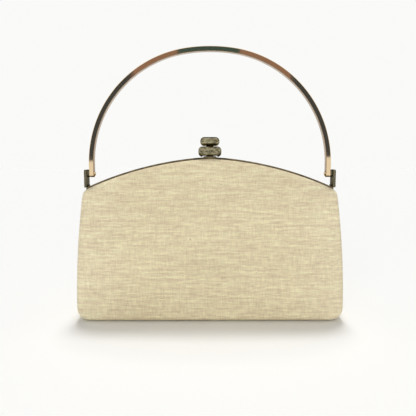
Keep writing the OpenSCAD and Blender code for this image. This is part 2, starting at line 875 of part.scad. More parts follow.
// Handle rivet: a shank through lug, washer and handle, domed inside and flat outside
pin_from = handle_half - bar_t - pin_play;
pin_to = lug_x + lug_t + lug_bead_h;
pin_flat_h = 0.5;
module handle_rivet() {
    dome_r = (handle_head_r * handle_head_r + handle_head_h * handle_head_h) / (2 * handle_head_h);
    color(gold)
        translate([pin_from, 0, pivot_z])
            rotate([0, 90, 0]) {
                cylinder(h = pin_to - pin_from, r = handle_pin_r);
                intersection() {
                    translate([0, 0, dome_r - handle_head_h])
                        sphere(dome_r);
                    translate([0, 0, -handle_head_h])
                        cylinder(h = handle_head_h, r = handle_head_r);
                }
                translate([0, 0, pin_to - pin_from])
                    cylinder(h = pin_flat_h, r = handle_head_r);
            }
}
module right_handle_rivet() {
    handle_rivet();
}
module left_handle_rivet() {
    left()
        handle_rivet();
}
washer_r = 2.6;
module washer() {
    difference() {
        translate([handle_half + pin_play, 0, pivot_z])
            rotate([0, 90, 0])
                cylinder(h = lug_x - handle_half - pin_play, r = washer_r);
        translate([handle_half - over, 0, pivot_z])
            rotate([0, 90, 0])
                cylinder(h = lug_x - handle_half + 2 * over, r = handle_pin_r);
    }
}
module handle_washers() {
    color(pewter) {
        washer();
        left()
            washer();
    }
}

// Clasp: the front knob is flattened over a short neck, the rear one leans over it on an arm
neck_h = 0.1;
knob_seat = 0.8;
front_knob_z = body_h + clasp_plate_t + neck_h + front_knob_r - knob_seat;
rear_knob_z = front_knob_z + front_knob_r + knob_gap + rear_knob_r;
front_knob_y = clasp_hole_y;
arm_set_share = 0.33;
arm_y = -clasp_hole_y + clasp_arm_t * arm_set_share;
knob_lean_share = 0.45;
rear_knob_y = arm_y - rear_knob_r * knob_lean_share;
tenon_h = 2.4;
tenon_play = 0.05;
module clasp_plate() {
    plate_depth = rail_depth - 2 * parting_gap;
    stand(clasp_hole_y - plate_depth / 2 + parting_gap / 4, clasp_hole_y + plate_depth / 2 - parting_gap / 4)
        intersection() {
            difference() {
                under_arch(arch_r + clasp_plate_t);
                under_arch(arch_r);
            }
            translate([-clasp_plate_w / 2, body_h - clasp_plate_w])
                square([clasp_plate_w, 2 * clasp_plate_w]);
        }
}
module clasp_shank(from, to) {
    translate([0, 0, from])
        cylinder(h = to - from, r = tenon_r);
}
module knob(l, r) {
    rotate([0, 90, 0])
        rotate_extrude()
            intersection() {
                translate([-r, -l / 2])
                    rounded_plate(2 * r, l, knob_end_r);
                translate([0, -l])
                    square([r, 2 * l]);
            }
}
shank_from = body_h - outer_wall_h;
module front_clasp_base() {
    color(pewter) {
        clasp_plate();
        translate([0, clasp_hole_y, 0])
            clasp_shank(shank_from, body_h + clasp_plate_t + neck_h + tenon_h);
        translate([-clasp_arm_w / 2, clasp_hole_y - clasp_arm_t, body_h + clasp_plate_t / 2])
            cube([clasp_arm_w, 2 * clasp_arm_t, clasp_plate_t / 2 + neck_h]);
    }
}
module front_clasp_knob() {
    color(gold)
        difference() {
            translate([0, front_knob_y, front_knob_z])
                knob(front_knob_l, front_knob_r);
            translate([0, clasp_hole_y, front_knob_z - 2 * front_knob_r])
                cylinder(h = front_knob_r + knob_seat + tenon_h + tenon_play, r = tenon_r + tenon_play);
            translate([-clasp_arm_w, -rail_depth, body_h])
                cube([2 * clasp_arm_w, 2 * rail_depth, clasp_plate_t + neck_h + tenon_play]);
        }
}
arm_top = rear_knob_z - sqrt(rear_knob_r * rear_knob_r - pow(arm_y - rear_knob_y, 2));
module rear_clasp_base() {
    color(pewter) {
        rear()
            clasp_plate();
        translate([0, -clasp_hole_y, 0])
            clasp_shank(shank_from, body_h + clasp_plate_t / 2);
        difference() {
            translate([-clasp_arm_w / 2, arm_y - clasp_arm_t / 2, body_h + clasp_plate_t / 2])
                cube([clasp_arm_w, clasp_arm_t, arm_top - body_h]);
            translate([0, rear_knob_y, rear_knob_z])
                rotate([0, 90, 0])
                    cylinder(h = 2 * clasp_arm_w, r = rear_knob_r, center = true);
        }
    }
}
module rear_clasp_knob() {
    color(gold)
        translate([0, rear_knob_y, rear_knob_z])
            knob(rear_knob_l, rear_knob_r);
}

base_cover();
base_board();
base_lining();
front_cover_lower();
front_cover_fold();
front_cover_upper();
front_padding_lower();
front_padding_upper();
front_board_lower();
front_board_upper();
front_lining_lower();
front_lining_fold();
front_lining_upper();
rear_cover();
rear_padding();
rear_board();
rear_lining();
lining_pocket();
left_gusset();
right_gusset();
left_gusset_fold();
right_gusset_fold();
front_frame();
rear_frame();
left_hinge_rivet();
right_hinge_rivet();
left_lug();
right_lug();
lug_rivets();
handle();
left_handle_rivet();
right_handle_rivet();
handle_washers();
front_clasp_base();
front_clasp_knob();
rear_clasp_base();
rear_clasp_knob();
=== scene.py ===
"""Framed evening bag of slub silk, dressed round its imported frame.

It gets padded panels, gussets and linings, a polished handle and a pair of clasp knobs.
"""

import math

import bpy
from mathutils import Matrix, Vector


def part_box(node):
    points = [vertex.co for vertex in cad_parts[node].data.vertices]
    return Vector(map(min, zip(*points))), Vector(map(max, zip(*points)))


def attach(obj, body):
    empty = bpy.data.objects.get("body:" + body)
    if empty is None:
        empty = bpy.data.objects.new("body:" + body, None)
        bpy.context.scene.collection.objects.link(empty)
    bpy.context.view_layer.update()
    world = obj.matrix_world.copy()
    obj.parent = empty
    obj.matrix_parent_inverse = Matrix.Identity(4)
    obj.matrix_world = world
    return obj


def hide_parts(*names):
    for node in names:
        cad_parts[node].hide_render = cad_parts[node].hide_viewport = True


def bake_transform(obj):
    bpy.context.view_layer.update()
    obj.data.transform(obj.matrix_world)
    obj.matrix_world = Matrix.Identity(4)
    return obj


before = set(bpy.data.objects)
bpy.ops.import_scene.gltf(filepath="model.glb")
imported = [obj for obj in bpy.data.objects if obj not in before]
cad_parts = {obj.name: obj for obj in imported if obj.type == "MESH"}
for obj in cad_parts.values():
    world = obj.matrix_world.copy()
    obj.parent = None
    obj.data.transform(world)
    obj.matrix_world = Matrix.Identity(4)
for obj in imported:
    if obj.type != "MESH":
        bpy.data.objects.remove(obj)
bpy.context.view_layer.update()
MM = 0.001

# Camera, fitted to the photo: focal length and width in pixels, place in millimetres, turns in degrees
FOCAL_PX = 503.0
WIDTH_PX = 416.0
SENSOR_W = 36.0
CAMERA_AT = Vector((-2.0, -413.1, 136.0)) * MM
CAMERA_YAW, CAMERA_PITCH, CAMERA_ROLL = (math.radians(a) for a in (-0.06, 6.32, -0.04))
NEAREST = 10.0 * MM


def place_camera():
    data = bpy.data.cameras.new("photo_camera")
    data.sensor_width = SENSOR_W
    data.lens = FOCAL_PX / WIDTH_PX * data.sensor_width
    data.clip_start = NEAREST
    cam = bpy.data.objects.new("photo_camera", data)
    bpy.context.collection.objects.link(cam)
    ahead = Vector((
        -math.sin(CAMERA_YAW) * math.cos(CAMERA_PITCH),
        math.cos(CAMERA_YAW) * math.cos(CAMERA_PITCH),
        -math.sin(CAMERA_PITCH),
    ))
    level = Vector((math.cos(CAMERA_YAW), math.sin(CAMERA_YAW), 0))
    above = level.cross(ahead)
    right = level * math.cos(CAMERA_ROLL) + above * math.sin(CAMERA_ROLL)
    up = above * math.cos(CAMERA_ROLL) - level * math.sin(CAMERA_ROLL)
    turn = Matrix((right, up, -ahead)).transposed()
    cam.matrix_world = Matrix.Translation(CAMERA_AT) @ turn.to_4x4()
    bpy.context.scene.camera = cam


place_camera()
bpy.context.scene.view_settings.view_transform = "Standard"

# The bag's own lines, in millimetres
# Outline: narrower by the taper at the shoulders, under an arch of two arcs that meet over the middle
BODY_W, TAPER, WIDEST_Z, BODY_H = 216.0, 10.6, 16.5, 132.2
ARCH_R, ARCH_SPREAD = 274.0, 28.0
CORNER_R, SHOULDER_R, LEAST_R = 10.0, 4.0, 0.5
# Depth, and how far the panels' soft edges wrap the sides
BASE_DEPTH, TOP_DEPTH, BULGE = 46.0, 20.0, 1.5
WRAP, RIM_LEVEL = 8.0, 20.0
# Layers, and how deep the lining and the room lie under the outer cloth
COVER_T, LINING_T, GUSSET_T, BASE_BOARD_T = 0.8, 0.6, 0.8, 1.8
LINING_IN, ROOM_IN = 4.7, 5.3
LAYER_GAP, SOFT_GAP, LIFT, HEM_ROOM = 0.2, 0.3, 0.4, 0.5
# Rail of the frame, hinge and fold
RAIL_DEPTH, RAIL_WEB, RAIL_INSET, INNER_WALL_H, PARTING = 5.6, 1.0, 2.9, 7.0, 0.3
HINGE_Z, HINGE_EYE_R, LEG_CLEARANCE, EYE_GAP, FOLD_H = 64.0, 4.2, 1.0, 0.2, 17.0

# Worked out from these: arcs of the arch, the sides and the panels' faces, and heights at the hinge
SHOULDER_W = BODY_W - TAPER
ARCH_C = Vector((-ARCH_SPREAD / 2, BODY_H - math.sqrt(ARCH_R ** 2 - ARCH_SPREAD ** 2 / 4)))
SHOULDER_Z = ARCH_C[1] + math.sqrt(ARCH_R ** 2 - ((SHOULDER_W + ARCH_SPREAD) / 2) ** 2)
SIDE_DROP, SIDE_H = TAPER / 2, SHOULDER_Z - WIDEST_Z
SIDE_R = (SIDE_H ** 2 + SIDE_DROP ** 2) / (2 * SIDE_DROP)
SIDE_C = Vector((BODY_W / 2 - SIDE_R, WIDEST_Z))
FALL = (BASE_DEPTH - TOP_DEPTH) / 2
CHORD = math.hypot(FALL, BODY_H)
FACE_R = (CHORD ** 2 / 4 + BULGE ** 2) / (2 * BULGE)
FACE_C = (
    (BASE_DEPTH + TOP_DEPTH) / 4 - (FACE_R - BULGE) * BODY_H / CHORD,
    BODY_H / 2 - (FACE_R - BULGE) * FALL / CHORD,
)
FOLD_LOW_Z, FOLD_HIGH_Z = HINGE_Z - FOLD_H / 2, HINGE_Z + FOLD_H / 2
LEG_END_Z = HINGE_Z + HINGE_EYE_R + LEG_CLEARANCE


def half_width(z):
    """Half the bag's width at a height, on the arc of its side."""
    return SIDE_C[0] + math.sqrt(SIDE_R ** 2 - (z - SIDE_C[1]) ** 2)


def half_depth(z):
    """Half the bag's depth at a height, on the arc of a panel's face."""
    return FACE_C[0] + math.sqrt(FACE_R ** 2 - (z - FACE_C[1]) ** 2)


def rim_depth(z):
    """Where a panel's cloth ends, beside the frame or on the bag's side."""
    return max(RAIL_DEPTH + SOFT_GAP, half_depth(max(z, RIM_LEVEL)) - WRAP)


def ease(t):
    """Goes smoothly from 0 to 1 as t does."""
    t = min(1.0, max(0.0, t))
    return t * t * (3 - 2 * t)


def crossing(c1, r1, c2, r2):
    """Point where two circles meet, on the left of the line from the first centre to the second."""
    d = (c2 - c1).length
    u = (c2 - c1) / d
    t = (r1 * r1 - r2 * r2 + d * d) / (2 * d)
    return c1 + u * t + Vector((-u[1], u[0])) * math.sqrt(r1 * r1 - t * t)


def arc_points(c, r, start, end, steps):
    return [
        Vector((c[0] + r * math.cos(a), c[1] + r * math.sin(a)))
        for a in (start + (end - start) * i / steps for i in range(steps + 1))
    ]


def bearing(c, p):
    """Angle at which a point lies, seen from a centre."""
    return math.atan2(p[1] - c[1], p[0] - c[0])


def mirrored(line):
    """The same line on the bag's other side, run backwards."""
    return [Vector((-p[0], p[1])) for p in reversed(line)]


def spaced(line, count):
    """The same line as count + 1 evenly spaced points."""
    far = [0.0]
    for a, b in zip(line, line[1:]):
        far.append(far[-1] + (b - a).length)
    out, k = [], 0
    for i in range(count + 1):
        want = far[-1] * i / count
        while k < len(far) - 2 and far[k + 1] < want:
            k += 1
        span = far[k + 1] - far[k]
        out.append(line[k].lerp(line[k + 1], (want - far[k]) / span if span else 0))
    return out


def foot_centre(inset, base_in, r):
    """Centre of the bottom corner's round, inside the side's arc and the base line."""
    return Vector((
        SIDE_C[0] + math.sqrt((SIDE_R - inset - r) ** 2 - (base_in + r - WIDEST_Z) ** 2),
        base_in + r,
    ))


BOTTOM_STEPS, SIDE_STEPS = 56, 30
CORNER_STEPS, SHOULDER_STEPS, LONG_ARC_STEPS = 6, 4, 24


def outline(inset, bottom_steps=BOTTOM_STEPS, side_steps=SIDE_STEPS):
    """Bottom, right, top and left side of the panel's outline, drawn in by an inset."""
    base_in, arch_in = LIFT + inset, RAIL_WEB + SOFT_GAP + inset
    low_r, top_r = max(CORNER_R - inset, LEAST_R), max(SHOULDER_R - inset, LEAST_R)
    foot = foot_centre(inset, base_in, low_r)
    shoulder = crossing(SIDE_C, SIDE_R - inset - top_r, ARCH_C, ARCH_R - arch_in - top_r)
    low, high = bearing(SIDE_C, foot), bearing(SIDE_C, shoulder)
    over = bearing(ARCH_C, shoulder)
    peak = math.acos(-ARCH_C[0] / (ARCH_R - arch_in))
    foot_mid, shoulder_mid = (-math.pi / 2 + low) / 2, (high + over) / 2
    bottom = [Vector((0, base_in))] + arc_points(foot, low_r, -math.pi / 2, foot_mid, CORNER_STEPS)
    side = (
        arc_points(foot, low_r, foot_mid, low, CORNER_STEPS)
        + arc_points(SIDE_C, SIDE_R - inset, low, high, LONG_ARC_STEPS)[1:]
        + arc_points(shoulder, top_r, high, shoulder_mid, SHOULDER_STEPS)[1:]
    )
    top = (
        arc_points(shoulder, top_r, shoulder_mid, over, SHOULDER_STEPS)
        + arc_points(ARCH_C, ARCH_R - arch_in, over, peak, LONG_ARC_STEPS)[1:]
    )
    return (
        spaced(mirrored(bottom) + bottom[1:], bottom_steps),
        spaced(side, side_steps),
        spaced(top + mirrored(top)[1:], bottom_steps),
        spaced(mirrored(side), side_steps),
    )


def patch(sides):
    """Grid of points that fills the four sides of an outline smoothly."""
    bottom, right, top, left = sides
    n, m = len(bottom) - 1, len(right) - 1
    grid = []
    for j in range(m + 1):
        row = []
        v = j / m
        for i in range(n + 1):
            u = i / n
            p = bottom[i] * (1 - v) + top[n - i] * v + left[m - j] * (1 - u) + right[j] * u
            p = p - (bottom[0] * (1 - u) * (1 - v) + bottom[n] * u * (1 - v)
                     + top[n] * (1 - u) * v + top[0] * u * v)
            row.append(p)
        grid.append(row)
    return grid


# Making pieces
MERGE = 0.005 * MM
BEVEL_ANGLE = math.radians(40)


def deselect():
    if bpy.context.object and bpy.context.object.mode != "OBJECT":
        bpy.ops.object.mode_set(mode="OBJECT")
    bpy.ops.object.select_all(action="DESELECT")


def pick(obj):
    deselect()
    obj.select_set(True)
    bpy.context.view_layer.objects.active = obj


def edit_all():
    bpy.ops.object.mode_set(mode="EDIT")
    bpy.ops.mesh.select_all(action="SELECT")


def end_edit():
    bpy.ops.object.mode_set(mode="OBJECT")


def mesh_piece(name, points, faces):
    """A soft piece from its lofted points, given in millimetres."""
    data = bpy.data.meshes.new(name)
    data.from_pydata([tuple(c * MM for c in p) for p in points], [], faces)
    data.update()
    obj = bpy.data.objects.new(name, data)
    bpy.context.collection.objects.link(obj)
    data.shade_smooth()
    return obj


def flip_towards(obj, axis, sign):
    """Turns the faces of an open sheet so that they look mostly along an axis."""
    total = sum(p.normal[axis] * p.area for p in obj.data.polygons)
    if total * sign < 0:
        obj.data.flip_normals()


def open_sheet(name, rows, axis, sign):
    """A sheet from rows of points, with its faces looking mostly along an axis."""
    per_row = len(rows[0])
    corners = (k * per_row + i for k in range(len(rows) - 1) for i in range(per_row - 1))
    faces = [(a, a + 1, a + per_row + 1, a + per_row) for a in corners]
    obj = mesh_piece(name, [p for row in rows for p in row], faces)
    flip_towards(obj, axis, sign)
    return obj


def area_of(obj):
    return sum(p.area for p in obj.data.polygons)


def settle(obj):
    """Puts a piece's place, turn and scale into its mesh, so that its object sits at the origin."""
    pick(obj)
    bpy.ops.object.transform_apply(location=True, rotation=True, scale=True)
    return obj


def flat_plate(name, width, depth, at, turn=(0, 0, 0)):
    """A rectangle in its place, given in millimetres, for the modelling that follows."""
    deselect()
    bpy.ops.mesh.primitive_plane_add(size=1.0, rotation=turn)
    obj = bpy.context.object
    obj.name = name
    obj.scale = (width * MM, depth * MM, 1)
    obj.location = [c * MM for c in at]
    return settle(obj)


def face_out(obj):
    """Merges doubled points and turns the faces of a closed piece outwards."""
    pick(obj)
    edit_all()
    bpy.ops.mesh.remove_doubles(threshold=MERGE)
    bpy.ops.mesh.normals_make_consistent(inside=False)
    end_edit()


def spin_section(centre, angle, steps):
    """Turns the selected section about an axis from front to back; the centre is in millimetres."""
    bpy.ops.mesh.spin(steps=steps, angle=angle, center=(centre[0] * MM, 0, centre[1] * MM), axis=(0, 1, 0))


def smooth_below(degrees):
    bpy.ops.object.shade_smooth_by_angle(angle=math.radians(degrees))


def finish_with(obj, kind, **settings):
    """Adds a modifier and applies it."""
    pick(obj)
    mod = obj.modifiers.new(kind.lower(), kind)
    for key, value in settings.items():
        setattr(mod, key, value)
    bpy.ops.object.modifier_apply(modifier=mod.name)
    return obj


def thicken(obj, thickness, offset=-1.0):
    return finish_with(obj, "SOLIDIFY", thickness=thickness * MM, offset=offset, use_even_offset=True)


def soften(obj, levels=1):
    return finish_with(obj, "SUBSURF", levels=levels, render_levels=levels)


def round_edges(obj, width, segments):
    return finish_with(obj, "BEVEL", width=width * MM, segments=segments,
                       limit_method="ANGLE", angle_limit=BEVEL_ANGLE)


# Nodes of the materials
def give(node, **inputs):
    """Sets inputs of a node by their names, with an underscore for each space."""
    for key, value in inputs.items():
        node.inputs[key.replace("_", " ")].default_value = value


def add(tree, kind, **inputs):
    node = tree.nodes.new(kind)
    give(node, **inputs)
    return node


def node_material(name):
    mat = bpy.data.materials.new(name)
    mat.use_nodes = True
    tree = mat.node_tree
    return mat, tree, tree.nodes["Principled BSDF"]


def stretched(tree, scale):
    """Object coordinates, drawn out by a scale on each axis."""
    where = add(tree, "ShaderNodeTexCoord")
    fit = add(tree, "ShaderNodeMapping", Scale=scale)
    tree.links.new(where.outputs["Object"], fit.inputs["Vector"])
    return fit.outputs["Vector"]


def along(tree, axis):
    """One of the object coordinates, in metres."""
    split = add(tree, "ShaderNodeSeparateXYZ")
    tree.links.new(stretched(tree, (1.0, 1.0, 1.0)), split.inputs[0])
    return split.outputs[axis]


def noise(tree, scale, detail=2.0, roughness=0.5):
    """Noise with so many waves a metre on each axis."""
    node = add(tree, "ShaderNodeTexNoise", Scale=1.0, Detail=detail, Roughness=roughness)
    tree.links.new(stretched(tree, scale), node.inputs["Vector"])
    return node.outputs["Fac"]


def ramp_of(tree, value, *stops):
    node = add(tree, "ShaderNodeValToRGB")
    ramp = node.color_ramp
    while len(ramp.elements) < len(stops):
        ramp.elements.new(0.5)
    for element, (at, colour) in zip(ramp.elements, stops):
        element.position = at
        element.color = (*colour, 1.0)
    tree.links.new(value, node.inputs["Fac"])
    return node.outputs["Color"]


# Sockets of a colour mix: its share, the two colours that go in and the one that comes out
MIX_SHARE, MIX_A, MIX_B, MIX_RESULT = 0, 6, 7, 2


def tinted(tree, colour, *tints):
    """A colour that is multiplied by each tint in turn."""
    for tint in tints:
        node = tree.nodes.new("ShaderNodeMix")
        node.data_type = "RGBA"
        node.blend_type = "MULTIPLY"
        node.inputs[MIX_SHARE].default_value = 1.0
        tree.links.new(colour, node.inputs[MIX_A])
        tree.links.new(tint, node.inputs[MIX_B])
        colour = node.outputs[MIX_RESULT]
    return colour


def figured(tree, kind, a, b):
    """A math node on two values or sockets."""
    node = tree.nodes.new("ShaderNodeMath")
    node.operation = kind
    for socket, value in zip(node.inputs, (a, b)):
        if hasattr(value, "node"):
            tree.links.new(value, socket)
        else:
            socket.default_value = value
    return node.outputs[0]


def mixed(tree, a, a_share, b, b_share):
    """Two values, each times its share, added up."""
    return figured(tree, "ADD", figured(tree, "MULTIPLY", a, a_share), figured(tree, "MULTIPLY", b, b_share))


def paint(tree, shader, colour):
    tree.links.new(colour, shader.inputs["Base Color"])


def bumped(tree, shader, height, distance, strength):
    """Relief of a height socket; the distance is in millimetres."""
    node = add(tree, "ShaderNodeBump", Strength=strength, Distance=distance * MM)
    tree.links.new(height, node.inputs["Height"])
    tree.links.new(node.outputs["Normal"], shader.inputs["Normal"])


# Cloth and board
SILK_PALE, SILK_MID, SILK_ROSE = (0.84, 0.775, 0.52), (0.755, 0.66, 0.44), (0.68, 0.56, 0.38)
SLUB_SHARE, LONG_SLUB_SHARE = 0.55, 0.45
SLUB_RELIEF, WEAVE_RELIEF = 0.7, 0.3
# Painted side light: the silk grows paler from the first distance off the middle to the second, in metres
SIDE_LIGHT_FROM, SIDE_LIGHT_TO = 60.0 * MM, 100.0 * MM


def slub_silk():
    """Champagne silk: pale slubs along the weft, on a rosier ground with a fine plain weave; painted side
    light makes it paler towards the left and right.
    """
    mat, tree, shader = node_material("slub_silk")
    short = noise(tree, (120.0, 120.0, 860.0), 4.0, 0.65)
    long = noise(tree, (48.0, 48.0, 520.0))
    weft = noise(tree, (240.0, 240.0, 1900.0), 1.0)
    warp = noise(tree, (1500.0, 500.0, 150.0), 1.0)
    slubs = mixed(tree, short, SLUB_SHARE, long, LONG_SLUB_SHARE)
    thread = figured(tree, "ADD", weft, warp)
    ground = ramp_of(tree, slubs, (0.38, SILK_ROSE), (0.50, SILK_MID), (0.63, SILK_PALE))
    cloudy = ramp_of(tree, noise(tree, (14.0, 14.0, 30.0), 3.0, 0.55),
                     (0.3, (0.95, 0.945, 0.94)), (0.7, (1.03, 1.03, 1.035)))
    # Painted side light: paler and a little bluer towards the left and right sides
    painted_side_light = ramp_of(tree, figured(tree, "ABSOLUTE", along(tree, "X"), 0.0),
                          (SIDE_LIGHT_FROM, (1.0, 1.0, 1.0)), (SIDE_LIGHT_TO, (1.05, 1.065, 1.10)))
    grain = ramp_of(tree, figured(tree, "MULTIPLY", thread, 0.5),
                    (0.32, (0.86, 0.85, 0.83)), (0.68, (1.11, 1.11, 1.11)))
    flecks = ramp_of(tree, noise(tree, (420.0, 420.0, 900.0), 1.0),
                     (0.20, (0.55, 0.46, 0.36)), (0.24, (1.0, 1.0, 1.0)))
    paint(tree, shader, tinted(tree, ground, cloudy, painted_side_light, grain, flecks))
    bumped(tree, shader, mixed(tree, slubs, SLUB_RELIEF, thread, WEAVE_RELIEF), 0.3, 0.7)
    give(shader, Roughness=0.6, Specular_IOR_Level=0.25, Sheen_Weight=0.3, Sheen_Roughness=0.4,
         Sheen_Tint=(1.0, 0.94, 0.82, 1.0))
    return mat


def lining_satin():
    """Smooth champagne satin with a faint twill."""
    mat, tree, shader = node_material("lining_satin")
    broad = noise(tree, (18.0, 18.0, 30.0))
    twill = noise(tree, (900.0, 900.0, 3000.0), 1.0)
    ground = ramp_of(tree, broad, (0.3, (0.55, 0.47, 0.32)), (0.7, (0.64, 0.56, 0.39)))
    thread = ramp_of(tree, twill, (0.3, (0.95, 0.95, 0.95)), (0.7, (1.04, 1.04, 1.04)))
    paint(tree, shader, tinted(tree, ground, thread))
    bumped(tree, shader, twill, 0.1, 0.4)
    give(shader, Roughness=0.38, Sheen_Weight=0.2)
    return mat


def greyboard():
    mat, tree, shader = node_material("greyboard")
    flecks = noise(tree, (700.0, 700.0, 700.0), 4.0, 0.7)
    paint(tree, shader, ramp_of(tree, flecks, (0.3, (0.25, 0.22, 0.18)), (0.7, (0.38, 0.35, 0.3))))
    bumped(tree, shader, flecks, 0.1, 0.5)
    give(shader, Roughness=0.9)
    return mat


# Metals
def plated(name, bright, worn, roughness, waves=160.0, grain=(1.0, 1.0, 1.0),
           spread=0.08, relief=0.15, rim=1.0):
    """Plated metal, worn in patches; its rim is how bright it is when it is seen edge on."""
    mat, tree, shader = node_material(name)
    patches = noise(tree, tuple(waves * g for g in grain), 4.0, 0.6)
    paint(tree, shader, ramp_of(tree, patches, (0.35, worn), (0.65, bright)))
    gloss = figured(tree, "ADD", figured(tree, "MULTIPLY", patches, -spread), roughness + spread / 2)
    tree.links.new(gloss, shader.inputs["Roughness"])
    bumped(tree, shader, noise(tree, (1500.0, 1500.0, 1500.0)), 0.02, relief)
    give(shader, Metallic=1.0, Specular_Tint=(rim, rim, rim, 1.0))
    return mat


# Height that the painted reflection tones of the handle's inner edge are shares of
EDGE_REACH = 250.0 * MM


def handle_edge_painted_reflection():
    """Inner edge of the handle: a painted reflection, brown at the legs and paler over the arch."""
    mat, tree, shader = node_material("handle_edge_painted_reflection")
    height = figured(tree, "DIVIDE", along(tree, "Z"), EDGE_REACH)
    reflected_tone = ramp_of(tree, height, (0.50, (0.36, 0.24, 0.13)), (0.8, (0.46, 0.35, 0.25)))
    worn = ramp_of(tree, noise(tree, (120.0, 120.0, 120.0), 3.0),
                   (0.3, (0.75, 0.75, 0.75)), (0.7, (1.15, 1.15, 1.15)))
    paint(tree, shader, tinted(tree, reflected_tone, worn))
    give(shader, Metallic=1.0, Roughness=0.25)
    return mat


SILK = slub_silk()
SATIN = lining_satin()
BOARD = greyboard()
RAIL = plated("aged_rail", (0.26, 0.20, 0.115), (0.13, 0.10, 0.06), 0.34)
FOOT = plated("dark_foot", (0.13, 0.105, 0.06), (0.07, 0.055, 0.035), 0.4)
BRASS = plated("clasp_brass", (0.68, 0.49, 0.22), (0.46, 0.32, 0.13), 0.4, waves=420.0)
LUG = plated("lug_plating", (0.30, 0.265, 0.17), (0.08, 0.07, 0.042), 0.35, waves=900.0,
             grain=(1.0, 1.0, 0.06), rim=0.35)
GOLD = plated("polished_gold", (0.84, 0.66, 0.42), (0.79, 0.61, 0.38), 0.04, waves=60.0,
              spread=0.02, relief=0.03)
KNOB = plated("tarnished_knob", (0.40, 0.355, 0.22), (0.09, 0.078, 0.045), 0.08, waves=330.0,
              grain=(1.0, 1.0, 1.5), spread=0.04, relief=0.06, rim=0.3)
EDGE_REFLECTION = handle_edge_painted_reflection()


def coat(obj, material):
    obj.data.materials.clear()
    obj.data.materials.append(material)


def dress(obj, material, slot, *nodes, body=None):
    """Gives a new piece its finish and its body, and hides the solids that it stands for."""
    coat(obj, material)
    if nodes:
        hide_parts(*nodes)
    if body:
        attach(obj, body)


# Padded panels
PANEL_EDGE, EDGE_TURNS = 5.0, 7
PADDING_CROWN, CROWN_REACH = 1.2, 30.0
SWELL_FRAMES, SWELL_CAP, SWELL_SHARE = 20, 0.9, 0.6


def crown_at(x, z):
    """Rise of the wadding over the edge of the board."""
    arch = ARCH_C[1] + math.sqrt(ARCH_R ** 2 - (abs(x) - ARCH_C[0]) ** 2)
    share = 1.0
    for d in (half_width(z) - abs(x), z - LIFT, arch - z):
        share *= ease((d - PANEL_EDGE) / CROWN_REACH)
    return PADDING_CROWN * share


def panel_edge_rings(sign):
    """Closed rings of points from the panel's rim round its soft edge."""
    rings = []
    for k in range(EDGE_TURNS + 1):
        a = math.pi / 2 * k / EDGE_TURNS
        ring = []
        for line in outline(PANEL_EDGE * (1 - math.cos(a))):
            for p in line[:-1]:
                back, front = rim_depth(p[1]), half_depth(p[1])
                ring.append((p[0], sign * (back + (front - back) * math.sin(a)), p[1]))
        rings.append(ring)
    return rings


def panel_skin(name, sign):
    """Cloth of one panel, and how many of its points are glued to the board."""
    rings = panel_edge_rings(sign)
    n = len(rings[0])
    points = [p for ring in rings for p in ring]
    faces = [
        (k * n + i, k * n + (i + 1) % n, (k + 1) * n + (i + 1) % n, (k + 1) * n + i)
        for k in range(EDGE_TURNS) for i in range(n)
    ]
    grid = patch(outline(PANEL_EDGE))
    rows, cols = len(grid), len(grid[0])
    last = EDGE_TURNS * n
    # The patch's border is the last ring: bottom, right side, top and left side in turn
    index = {}
    for i in range(cols):
        index[0, i] = last + i % n
        index[rows - 1, cols - 1 - i] = last + (cols - 1 + rows - 1 + i) % n
    for j in range(rows):
        index[j, cols - 1] = last + (cols - 1 + j) % n
        index[rows - 1 - j, 0] = last + (2 * (cols - 1) + rows - 1 + j) % n
    for j in range(1, rows - 1):
        for i in range(1, cols - 1):
            p = grid[j][i]
            index[j, i] = len(points)
            points.append((p[0], sign * (half_depth(p[1]) + crown_at(p[0], p[1])), p[1]))
    faces += [
        (index[j, i], index[j, i + 1], index[j + 1, i + 1], index[j + 1, i])
        for j in range(rows - 1) for i in range(cols - 1)
    ]
    obj = mesh_piece(name, points, faces)
    flip_towards(obj, 1, sign)
    return obj, n * (EDGE_TURNS - 1)


def swell(obj, glued):
    """Lets the wadding push the cloth out, then keeps a share of each point's capped move."""
    rest = [v.co.copy() for v in obj.data.vertices]
    pins = obj.vertex_groups.new(name="glued_edge")
    pins.add(list(range(glued)), 1.0, "REPLACE")
    pick(obj)
    mod = obj.modifiers.new("wadding", "CLOTH")
    cloth = mod.settings
    cloth.quality = 6
    cloth.mass = 0.3
    cloth.use_pressure = True
    cloth.uniform_pressure_force = 4.0
    cloth.tension_stiffness = cloth.compression_stiffness = 60.0
    cloth.shear_stiffness = 30.0
    cloth.bending_stiffness = 1.5
    cloth.vertex_group_mass = pins.name
    cloth.effector_weights.gravity = 0.0
    mod.collision_settings.use_collision = False
    mod.point_cache.frame_start, mod.point_cache.frame_end = 1, SWELL_FRAMES
    scene = bpy.context.scene
    for step in range(1, SWELL_FRAMES + 1):
        scene.frame_set(step)
    bpy.ops.object.modifier_apply(modifier=mod.name)
    cap = SWELL_CAP * MM
    for v, start in zip(obj.data.vertices, rest):
        move = v.co - start
        if move.length > cap:
            move *= cap / move.length
        v.co = start + move * SWELL_SHARE
    scene.frame_set(1)
    obj.vertex_groups.clear()


def padded_panel(name, sign):
    skin, glued = panel_skin(name, sign)
    swell(skin, glued)
    thicken(skin, COVER_T)
    soften(skin)
    skin.data.shade_smooth()
    return skin


front_panel = padded_panel("front_panel", -1)
dress(front_panel, SILK, "cover_silk", "front_cover_lower", "front_cover_fold", "front_cover_upper",
      "front_padding_lower", "front_padding_upper")
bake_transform(front_panel)
rear_panel = padded_panel("rear_panel", 1)
dress(rear_panel, SILK, "cover_silk", "rear_cover", "rear_padding", body="root")

# Base strip
STRIP_HALF = rim_depth(0) - SOFT_GAP
STRIP_STEPS, STRIP_COLS, STRIP_CORNER_STEPS = 96, 12, 10


